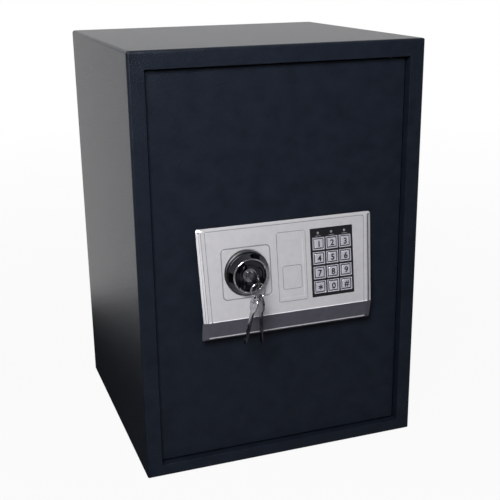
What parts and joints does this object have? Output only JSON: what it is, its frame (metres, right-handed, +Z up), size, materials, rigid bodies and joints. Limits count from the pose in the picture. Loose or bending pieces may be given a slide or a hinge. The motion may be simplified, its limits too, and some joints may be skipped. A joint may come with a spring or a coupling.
{
  "type": "electronic home safe",
  "caption": "Upright steel home safe with an inset door, a sloping control panel with keypad and knob, keys on a ring, and a bolt mechanism behind the door.",
  "frame": {"origin": "centre of the base face, on the surface that the safe stands on", "axes": "+Z up, -Y out of the door, +X to the right as seen by a person who faces the door"},
  "size_m": [0.35, 0.3808, 0.5],
  "materials": {
    "coated_steel": "fine-textured powder coat",
    "bare_steel": "plain turned and cut steel",
    "zinc_plate": "bright zinc plate",
    "silver_moulding": "silver paint on moulded plastic, satin",
    "grey_moulding": "dark grey paint on moulded plastic",
    "black_moulding": "black moulded plastic",
    "dark_chrome": "dark chrome plate, polished",
    "key_caps": "silver plated key caps",
    "light_lenses": "unlit clear lenses",
    "key_rubber": "silicone sheet",
    "board": "green solder mask",
    "cell_wrap": "plain shrink sleeve",
    "red_button": "moulded plastic",
    "plated_brass": "dull chrome plate on brass",
    "nickel_keys": "nickel plate",
    "felt": "needle felt"
  },
  "bodies": {
    "cabinet": {"cabinet_wrap": "coated_steel", "back_panel": "coated_steel", "door_stop": "coated_steel", "hinge_sockets": "bare_steel", "floor_mat": "felt", "shelf_rails": "coated_steel"},
    "shelf": {"shelf": "coated_steel"},
    "door": {"door_plate": "coated_steel", "hinge_bar": "bare_steel", "hinge_pins": "zinc_plate", "spindle_bush": "zinc_plate", "guide_posts": "zinc_plate", "bolt_guides": "bare_steel", "panel_housing": "silver_moulding", "panel_strip": "grey_moulding", "centre_plate": "silver_moulding", "keypad_bezel": "black_moulding", "indicator_lights": "light_lenses", "key_mat": "key_rubber", "circuit_board": "board", "panel_screws": "zinc_plate", "control_lead": "black_moulding", "solenoid_bracket": "zinc_plate", "solenoid": "bare_steel", "plunger_spring": "bare_steel", "inner_cover": "coated_steel", "cover_studs": "zinc_plate", "battery_tray": "black_moulding", "batteries": "cell_wrap", "battery_contacts": "zinc_plate", "reset_switch": "black_moulding"},
    "plunger": {"plunger": "zinc_plate"},
    "battery_cover": {"battery_cover": "black_moulding"},
    "reset_button": {"reset_button": "red_button"},
    "knob": {"knob_skirt": "black_moulding", "knob_cap": "dark_chrome", "lock_barrel": "bare_steel", "spindle": "zinc_plate", "drive_cam": "bare_steel", "spindle_clip": "bare_steel"},
    "plug": {"lock_plug": "plated_brass", "inserted_key": "nickel_keys"},
    "key_ring": {"key_ring": "nickel_keys"},
    "spare_key_left": {"spare_key_left": "nickel_keys"},
    "spare_key_right": {"spare_key_right": "nickel_keys"},
    "bolt_work": {"bolt_carriage": "zinc_plate", "bolts": "zinc_plate", "bolt_screws": "bare_steel"},
    "key_1": {"key_1": "key_caps"},
    "key_2": {"key_2": "key_caps"},
    "key_3": {"key_3": "key_caps"},
    "key_4": {"key_4": "key_caps"},
    "key_5": {"key_5": "key_caps"},
    "key_6": {"key_6": "key_caps"},
    "key_7": {"key_7": "key_caps"},
    "key_8": {"key_8": "key_caps"},
    "key_9": {"key_9": "key_caps"},
    "key_star": {"key_star": "key_caps"},
    "key_0": {"key_0": "key_caps"},
    "key_hash": {"key_hash": "key_caps"}
  },
  "joints": [
    {"name": "door_swing", "type": "hinge", "parent": "cabinet", "child": "door", "pos_m": [0.1385, -0.148, 0], "axis": [0, 0, 1], "range_deg": [0, 100]},
    {"name": "shelf_lift", "type": "slide", "parent": "cabinet", "child": "shelf", "axis": [0, 0, 1], "range_m": [0, 0.06]},
    {"name": "knob_turn", "type": "hinge", "parent": "door", "child": "knob", "pos_m": [-0.048, -0.165, 0.245], "axis": [0, -1, 0], "range_deg": [0, 90]},
    {"name": "bolt_slide", "type": "slide", "parent": "door", "child": "bolt_work", "axis": [-1, 0, 0], "range_m": [0, 0.018]},
    {"name": "plug_turn", "type": "hinge", "parent": "knob", "child": "plug", "pos_m": [-0.048, -0.165, 0.245], "axis": [0, 1, 0], "range_deg": [0, 90]},
    {"name": "ring_swing", "type": "hinge", "parent": "plug", "child": "key_ring", "pos_m": [-0.048, -0.2053, 0.245], "axis": [1, 0, 0], "range_deg": [-60, 12]},
    {"name": "spare_left_swing", "type": "hinge", "parent": "key_ring", "child": "spare_key_left", "pos_m": [-0.05128, -0.2053, 0.22628], "axis": [0.9703, 0, -0.2419], "range_deg": [-60, 14]},
    {"name": "spare_right_swing", "type": "hinge", "parent": "key_ring", "child": "spare_key_right", "pos_m": [-0.04499, -0.2053, 0.22625], "axis": [1, 0, 0.0087], "range_deg": [-60, 14]},
    {"name": "plunger_draw", "type": "slide", "parent": "door", "child": "plunger", "axis": [0, 0, -1], "range_m": [0, 0.0015], "stiffness_N_per_m": 200, "springref_m": -0.004, "deforming": ["plunger_spring"]},
    {"name": "battery_cover_slide", "type": "slide", "parent": "door", "child": "battery_cover", "axis": [0, 0, 1], "range_m": [0, 0.065]},
    {"name": "reset_press", "type": "slide", "parent": "door", "child": "reset_button", "axis": [0, -1, 0], "range_m": [0, 0.0015], "stiffness_N_per_m": 300, "springref_m": -0.001},
    {"name": "key_1_press", "type": "slide", "parent": "door", "child": "key_1", "axis": [0, 0.9917, -0.1286], "range_m": [0, 0.001], "stiffness_N_per_m": 400, "springref_m": -0.0005},
    {"name": "key_2_press", "type": "slide", "parent": "door", "child": "key_2", "axis": [0, 0.9917, -0.1286], "range_m": [0, 0.001], "stiffness_N_per_m": 400, "springref_m": -0.0005},
    {"name": "key_3_press", "type": "slide", "parent": "door", "child": "key_3", "axis": [0, 0.9917, -0.1286], "range_m": [0, 0.001], "stiffness_N_per_m": 400, "springref_m": -0.0005},
    {"name": "key_4_press", "type": "slide", "parent": "door", "child": "key_4", "axis": [0, 0.9917, -0.1286], "range_m": [0, 0.001], "stiffness_N_per_m": 400, "springref_m": -0.0005},
    {"name": "key_5_press", "type": "slide", "parent": "door", "child": "key_5", "axis": [0, 0.9917, -0.1286], "range_m": [0, 0.001], "stiffness_N_per_m": 400, "springref_m": -0.0005},
    {"name": "key_6_press", "type": "slide", "parent": "door", "child": "key_6", "axis": [0, 0.9917, -0.1286], "range_m": [0, 0.001], "stiffness_N_per_m": 400, "springref_m": -0.0005},
    {"name": "key_7_press", "type": "slide", "parent": "door", "child": "key_7", "axis": [0, 0.9917, -0.1286], "range_m": [0, 0.001], "stiffness_N_per_m": 400, "springref_m": -0.0005},
    {"name": "key_8_press", "type": "slide", "parent": "door", "child": "key_8", "axis": [0, 0.9917, -0.1286], "range_m": [0, 0.001], "stiffness_N_per_m": 400, "springref_m": -0.0005},
    {"name": "key_9_press", "type": "slide", "parent": "door", "child": "key_9", "axis": [0, 0.9917, -0.1286], "range_m": [0, 0.001], "stiffness_N_per_m": 400, "springref_m": -0.0005},
    {"name": "key_star_press", "type": "slide", "parent": "door", "child": "key_star", "axis": [0, 0.9917, -0.1286], "range_m": [0, 0.001], "stiffness_N_per_m": 400, "springref_m": -0.0005},
    {"name": "key_0_press", "type": "slide", "parent": "door", "child": "key_0", "axis": [0, 0.9917, -0.1286], "range_m": [0, 0.001], "stiffness_N_per_m": 400, "springref_m": -0.0005},
    {"name": "key_hash_press", "type": "slide", "parent": "door", "child": "key_hash", "axis": [0, 0.9917, -0.1286], "range_m": [0, 0.001], "stiffness_N_per_m": 400, "springref_m": -0.0005}
  ],
  "couplings": [
    {"joint": "bolt_slide", "follows": "knob_turn", "m_per_rad": 0.011459}
  ]
}
